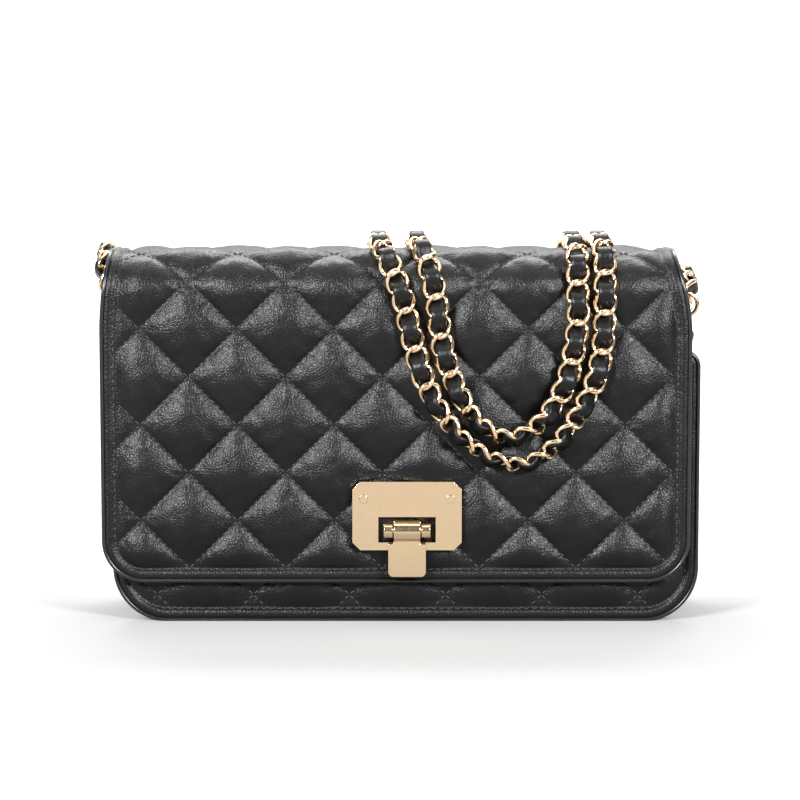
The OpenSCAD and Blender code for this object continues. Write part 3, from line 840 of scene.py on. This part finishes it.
ZIP_Z = 96
ZIP_HALF = 70


def make_zip():
    tape = Sheet(88, 104, 0.8, 0.8, straight_sides(75), facing_back(20.5))

    def face(x, v, edge):
        rib = 0.06 * np.cos(2 * math.pi * (v - ZIP_Z) / 1.6) * (np.abs(v - ZIP_Z) > 2.4)
        return 0.05 + rib + 0.12 * np.exp(-edge / 0.4)

    cloth_tape = tape.solid(
        "zip_tape_cloth", face, lambda x, v, e: 0.6 - 0.1 * np.exp(-e / 0.4),
        (1.2, 0.4), tape_cloth, "zip_tape",
    )
    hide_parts("zip_tape")
    seams = Shape()
    for v in (89.6, 102.4):
        for x in np.arange(-72, 73, 3.0):
            stitch(seams, tape, x, v, (1, 0), -0.02, r=0.22)
    thread_seams = seams.mesh("zip_tape_stitches", thread, "zip_tape")
    teeth = Shape()
    count = int(2 * ZIP_HALF / 1.5)
    ring = np.array([[-0.5, 0], [-0.5, 0.8], [-0.25, 1.1], [0.25, 1.1], [0.5, 0.8], [0.5, 0]])
    for k in range(count):
        x = -ZIP_HALF + 0.75 + k * 1.5
        side = 1 if k % 2 else -1
        rings = []
        for z, size in ((-0.5, 0.8), (-0.2, 1), (1.1, 1), (1.4, 0.7)):
            rings.append([
                [x + p[0] * size, 20.5 - p[1] * (0.7 + 0.3 * size), ZIP_Z + side * z] for p in ring
            ])
        teeth.add(np.array(rings), skin(4, 6))
    row = teeth.mesh("zip_teeth_row", gold, "gold_metal")
    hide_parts("zip_teeth")
    for piece in (cloth_tape, thread_seams, row):
        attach(piece, "bag")


# ---- the leather tabs that hold the rings ----


def make_chape(side, name):
    layer = 1.2
    mid = layer / 2
    loop_r = 1.95
    path = [(GUSSET_X + mid, z) for z in np.linspace(90, RING_Z - 1, 14)]
    path += [
        (RING_X - loop_r * math.cos(t), RING_Z + loop_r * math.sin(t)) for t in np.linspace(0, math.pi, 13)
    ]
    outer = np.linspace(0, 1, 18)[1:]
    for t in outer:
        swing = float(smooth(0, 0.4, t))
        drawn_in = swing * (RING_X + loop_r - GUSSET_X - layer - mid - 0.1)
        path.append((RING_X + loop_r - drawn_in, RING_Z - t * 20))
    path = np.array(path)
    ahead = unit(np.gradient(path, axis=0))
    normal = np.stack([-ahead[:, 1], ahead[:, 0]], 1)
    half_w = 7.5
    profile = []
    for turn in np.linspace(-90, 90, 7):
        angle = math.radians(turn)
        profile.append((half_w - mid + mid * math.cos(angle), mid * math.sin(angle)))
    for turn in np.linspace(90, 270, 7):
        angle = math.radians(turn)
        profile.append((-half_w + mid + mid * math.cos(angle), mid * math.sin(angle)))
    rings = []
    for p, n in zip(path, normal):
        rings.append([[side * (p[0] + n[0] * h), w, p[1] + n[1] * h] for w, h in profile])
    rings = np.array(rings)
    strip = add_mesh(
        name + "_leather", rings.reshape(-1, 3), skin(len(rings), len(profile)),
        side_leather,
    )
    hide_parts(name)
    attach(strip, "bag")
    seams = Shape()

    def on_strip(x, v, depth):
        shape = np.shape(depth)
        x_face = side * (GUSSET_X + 2 * layer + 0.15 - depth)
        return x_face, np.broadcast_to(x, shape), np.broadcast_to(v, shape)

    face = Sheet(90, 104, 1, 1, straight_sides(half_w), on_strip)
    for w in (-6, 6):
        for z in np.arange(91.5, 101, 2.6):
            stitch(seams, face, w, z, (0, 1), 0.1, length=1.9, r=0.25)
    for w in np.arange(-4.5, 5, 2.25):
        stitch(seams, face, w, 91, (1, 0), 0.1, length=1.7, r=0.25)
    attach(seams.mesh(name + "_stitches", thread, "gusset_leather"), "bag")


# ---- the strap ----

LEFT_SIDE = [
    (-119, 0, 129), (-120, 4, 137), (-120, 14, 142), (-120, 27, 137), (-120, 34, 123),
    (-116, 35, 108), (-100, 34, 93), (-68, 34, 83), (-35, 34, 89), (-15.5, 32, 108)
]
OUTER_LOOP = [
    (-1.5, -34, 127), (2.5, -34, 110), (7.5, -35, 93), (16.5, -36, 77.5), (29.5, -37, 66.5),
    (43.5, -37, 62.5), (56.5, -37, 69), (66.5, -36, 82), (73, -35, 96), (75.5, -34, 112),
    (76, -34, 127)
]
BACK_LOOP = [
    (73.5, 31, 105), (61.5, 33, 82), (40.5, 34, 70), (20.5, 33, 82), (7.5, 31, 105)
]
INNER_LOOP = [
    (11.5, -34, 127), (13.5, -34, 110), (18.5, -35, 93), (25.5, -36, 80.5), (35, -37, 73.5),
    (45, -37, 74), (54, -37, 81), (61, -36, 93), (64, -35, 105), (65.5, -34, 116),
    (65.5, -34, 127)
]
RIGHT_SIDE = [
    (66.5, 36, 112), (74.5, 39, 97), (90, 37, 89), (103, 38, 95), (111.5, 37, 108),
    (113.6, 33.5, 122), (113.4, 28, 131), (113, 14, 132), (112.8, 4, 129)
]
ROLL_OVER_Z = 142


def crossing(x_back, x_front, forward):
    """The five points of a crossing over the top"""
    points = [
        (x_back, 31, 126), (x_back, 25.2, ROLL_OVER_Z), (x_back, 9, 147),
        (x_back, -13, 147), (x_front, -28.5, ROLL_OVER_Z),
    ]
    return points if forward else points[::-1]


ROUTE = (
    LEFT_SIDE + crossing(-10.5, -7.5, True) + OUTER_LOOP + crossing(75.5, 76, False) + BACK_LOOP
    + crossing(4.5, 7.5, True) + INNER_LOOP + crossing(65, 65.5, False) + RIGHT_SIDE
)
LEFT_END = 5
RIGHT_START = len(ROUTE) - 5
LINK_PITCH = 7.5
LINK_HALF_L = 4.53
LINK_HALF_W = 3.78
LINK_LIFT = 1.35
LINK_LEAN = 16
WIRE_R = 0.9
LACE_W = 6.0
LACE_T = 1.5
LACE_RISE = 2.3


def dense(points, per=24):
    """The smooth curve through the points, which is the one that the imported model's strap follows"""
    p = np.array([points[0], *points, points[-1]], float)
    t = np.linspace(0, 1, per, endpoint=False)[:, None]
    runs = []
    for i in range(len(points) - 1):
        a, b, c, d = p[i:i + 4]
        square = (2 * a - 5 * b + 4 * c - d) * t ** 2
        cube = (3 * b - a - 3 * c + d) * t ** 3
        runs.append(0.5 * (2 * b + (c - a) * t + square + cube))
    runs.append(p[-1][None])
    return np.concatenate(runs)


def strap_frames(line):
    """At each point of the strap: the way ahead, across its width and out of its face"""
    ahead = unit(np.gradient(line, axis=0))
    nearest = np.stack([
        np.clip(line[:, 0], -110, 110), np.clip(line[:, 1], -13.5, 9.5), np.clip(line[:, 2], 110, 126.5)
    ], 1)
    outward = unit((line - nearest) * np.array([4, 1, 1]))
    wide = unit(np.cross(ahead, outward))
    return ahead, wide, np.cross(wide, ahead)


class Run:
    """A stretch of strap, measured along its length"""

    def __init__(self, line, first_sign):
        steps = np.linalg.norm(np.diff(line, axis=0), axis=1)
        self.s = np.concatenate([[0], np.cumsum(steps)])
        self.line = line
        self.length = self.s[-1]
        self.links = round(self.length / LINK_PITCH)
        self.pitch = self.length / self.links
        self.ahead, self.wide, self.thick = strap_frames(line)
        self.sign = first_sign
        self.last_sign = first_sign * (-1) ** self.links

    def at(self, values, s):
        return np.stack([np.interp(s, self.s, values[:, k]) for k in range(3)], -1)

    def chain(self, name):
        """Curb links: each is an oval wire bent so that it lies over one side of the next"""
        shape = Shape()
        around = np.linspace(0, 2 * math.pi, 31)[:-1]
        turn = np.linspace(0, 2 * math.pi, 11)[:-1]
        flat_l = LINK_HALF_L * np.cos(around)
        flat_w = LINK_HALF_W * np.sin(around)
        lean = math.radians(LINK_LEAN)
        local = np.stack([
            flat_l * math.cos(lean) - flat_w * math.sin(lean),
            flat_w * math.cos(lean) + flat_l * math.sin(lean),
            LINK_LIFT * np.sin(2 * around),
        ], 1)
        along = unit(np.roll(local, -1, 0) - np.roll(local, 1, 0))
        side = unit(np.cross(along, [0, 0, 1]))
        up = np.cross(side, along)
        sideways = side[:, None] * np.cos(turn)[None, :, None]
        upward = up[:, None] * np.sin(turn)[None, :, None]
        ring = local[:, None] + WIRE_R * (sideways + upward)
        faces = skin(30, 10, wrap_rows=True)
        for k in range(self.links):
            s = (k + 0.5) * self.pitch
            centre = self.at(self.line, s)
            axes = np.stack([self.at(a, s) for a in (self.ahead, self.wide, self.thick)])
            wobble = rng.normal(0, 0.07, 2)
            tilt = axes[1] * math.cos(wobble[0]) + axes[2] * math.sin(wobble[0])
            axes = np.stack([axes[0], unit(tilt), unit(np.cross(axes[0], tilt))])
            shape.add(ring.reshape(-1, 3) @ axes + centre, faces)
        return shape.mesh(name, chain_gold, "gold_metal")

    def lace(self, name):
        """The leather strip, over one junction of the chain and under the next"""
        s = np.linspace(0, self.length, self.links * 12 + 1)
        rise = self.sign * LACE_RISE * np.cos(np.pi * s / self.pitch)
        centre = self.at(self.line, s) + self.at(self.thick, s) * rise[:, None]
        wide = unit(self.at(self.wide, s))
        ahead = unit(np.gradient(centre, axis=0))
        thick = unit(np.cross(wide, ahead))
        half_w = LACE_W / 2 - 0.25 * np.cos(2 * np.pi * s / self.pitch) ** 2
        half_t = LACE_T / 2
        corners = []
        for turn in np.radians(np.linspace(0, 360, 17)[:-1]):
            bulge = 1 / max(abs(math.cos(turn)), abs(math.sin(turn)), 0.78)
            corners.append((math.cos(turn) * bulge, math.sin(turn) * bulge))
        rings = []
        for a, b in corners:
            rings.append(centre + wide * (a * half_w)[:, None] + thick * b * half_t)
        rings = np.stack(rings, 1)
        return add_mesh(name, rings.reshape(-1, 3), skin(len(s), len(corners)), lace_leather)


def make_strap():
    whole = dense(ROUTE)
    left_cut = LEFT_END * 24
    right_cut = RIGHT_START * 24
    left_lead = dense([(-114.2, 0, 122.6), (-116.6, 0, 125.2), ROUTE[0]])[:-1]
    right_lead = dense([ROUTE[-1], (112, 0.6, 127), (111, -0.4, 123.6)])[1:]
    lines = {
        "strap_left_end": np.concatenate([left_lead, whole[:left_cut + 1]]),
        "strap_main": whole[left_cut:right_cut + 1],
        "strap_right_end": np.concatenate([whole[right_cut:], right_lead]),
    }
    sign = 1
    made = {}
    for name, line in lines.items():
        run = Run(line, sign)
        sign = run.last_sign
        made[name] = (run, run.chain(name), run.lace(name + "_lace"))
    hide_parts("strap_end_left")
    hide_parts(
        "strap_back_left", "strap_bends", "strap_front_outer",
        "strap_back_loop", "strap_front_inner", "strap_back_right",
    )
    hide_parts("strap_end_right")
    for piece in made["strap_main"][1:]:
        bend_at_hinge(piece)
    for name, ring, side in (("strap_left_end", "d_ring_left", -1), ("strap_right_end", "d_ring_right", 1)):
        for piece in made[name][1:]:
            if side < 0:
                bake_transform(piece)
            else:
                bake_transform(piece)


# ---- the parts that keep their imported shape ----


def finish_metal():
    """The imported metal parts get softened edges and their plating"""
    edges = {
        "lock_front_plate": 0.5, "lock_back_plate": 0.4, "lock_tab": 0.4, "lock_screws": 0.2,
        "lock_pin": 0.1, "chape_rivets": 0.3, "d_ring_left": 0, "d_ring_right": 0,
        "jump_ring_left": 0, "jump_ring_right": 0, "zip_slider": 0.3, "zip_pull": 0.2,
        "snap_socket": 0.3, "snap_stud": 0.3, "flap_board": 0, "back_stiffener": 0,
        "front_stiffener": 0, "bottom_board": 0,
    }
    finishes = {"snap_socket": steel, "snap_stud": steel, "lock_screws": gold}
    for name, width in edges.items():
        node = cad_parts[name]
        finish = finishes.get(name, board if name.endswith(("board", "stiffener")) else gold)
        for slot in node.material_slots:
            slot.material = finish
        custom = node.data.attributes.get("custom_normal")
        if custom:
            node.data.attributes.remove(custom)
        node.data.polygons.foreach_set("use_smooth", [True] * len(node.data.polygons))
        join = node.modifiers.new("join", "WELD")
        join.merge_threshold = 1e-6
        if width:
            whole = node.modifiers.new("whole faces", "DECIMATE")
            whole.decimate_type = "DISSOLVE"
            whole.angle_limit = math.radians(1)
            soften = node.modifiers.new("soft edges", "BEVEL")
            soften.width = width * MM
            soften.segments = 3
            soften.limit_method = "ANGLE"
            soften.angle_limit = math.radians(35)
            soften.use_clamp_overlap = True
            soften.harden_normals = False
        even = node.modifiers.new("even shading", "WEIGHTED_NORMAL")
        even.keep_sharp = True


# ---- stage ----


FLOOR_GREY = (0.26, 0.26, 0.26, 1)
GLOW_START_Y = 0.0  # metres: the floor's own glow, painted light, rises behind the purse, where it washes out the shadows that the lamps cast and makes the backdrop white
GLOW_END_Y = 0.16
GLOW_FRONT = 0.12
GLOW_BACK = 1.0
WORLD_STRENGTH = 0.1
LIGHT_TARGET = (0, 0, 0.07)
# name, place, size and power: metres and watts
LIGHTS = (
    ("key", (-0.66, -0.95, 0.60), (0.30, 0.30), 34),
    ("right", (0.68, -0.93, 0.58), (0.28, 0.30), 30),
    ("top", (0, -0.1, 1.3), (1.6, 0.8), 12),
    ("back", (0, 0.9, 1.3), (1.4, 0.5), 34),
)


def make_stage():
    """A pale floor that curves up into a backdrop, with a painted glow behind the purse, and soft lights"""
    floor_mat = bpy.data.materials.new("pale floor")
    floor_mat.use_nodes = True
    nodes = floor_mat.node_tree.nodes
    shader = nodes["Principled BSDF"]
    shader.inputs["Base Color"].default_value = FLOOR_GREY
    shader.inputs["Roughness"].default_value = 0.9
    shader.inputs["Specular IOR Level"].default_value = 0.1
    shader.inputs["Emission Color"].default_value = (1, 1, 1, 1)
    # painted light: the floor glows by its place, little in front of the purse and fully behind it, where it
    # fills the lamps' shadows
    where = nodes.new("ShaderNodeNewGeometry")
    parts = nodes.new("ShaderNodeSeparateXYZ")
    glow = nodes.new("ShaderNodeMapRange")
    glow.inputs["From Min"].default_value = GLOW_START_Y
    glow.inputs["From Max"].default_value = GLOW_END_Y
    glow.inputs["To Min"].default_value = GLOW_FRONT
    glow.inputs["To Max"].default_value = GLOW_BACK
    link = floor_mat.node_tree.links.new
    link(where.outputs["Position"], parts.inputs["Vector"])
    link(parts.outputs["Y"], glow.inputs["Value"])
    link(glow.outputs["Result"], shader.inputs["Emission Strength"])
    path = [(-2500, 0), (900, 0)]
    for turn in np.radians(np.linspace(0, 90, 16))[1:]:
        path.append((900 + 700 * math.sin(turn), 700 - 700 * math.cos(turn)))
    path.append((1600, 3000))
    rows = [[(x, y, z) for x in (-3500, 3500)] for y, z in path]
    floor = add_mesh("floor", np.array(rows).reshape(-1, 3), skin(len(path), 2, wrap_cols=False), floor_mat)
    world = bpy.data.worlds.new("studio")
    bpy.context.scene.world = world
    world.use_nodes = True
    world.node_tree.nodes["Background"].inputs["Color"].default_value = (1, 1, 1, 1)
    world.node_tree.nodes["Background"].inputs["Strength"].default_value = WORLD_STRENGTH
    bpy.context.scene.view_settings.view_transform = "Standard"
    target = Vector(LIGHT_TARGET)
    for name, place, size, power in LIGHTS:
        light = bpy.data.lights.new(name, "AREA")
        light.shape = "RECTANGLE"
        light.size, light.size_y = size
        light.energy = power
        lamp = bpy.data.objects.new(name, light)
        lamp.location = place
        lamp.rotation_euler = (target - Vector(place)).to_track_quat("-Z", "Y").to_euler()
        bpy.context.scene.collection.objects.link(lamp)


make_camera()
make_strap()
make_shell()
make_front()
make_gusset()
make_lining()
make_pockets()
make_zip()
make_chape(-1, "chape_left")
make_chape(1, "chape_right")
finish_metal()
make_stage()
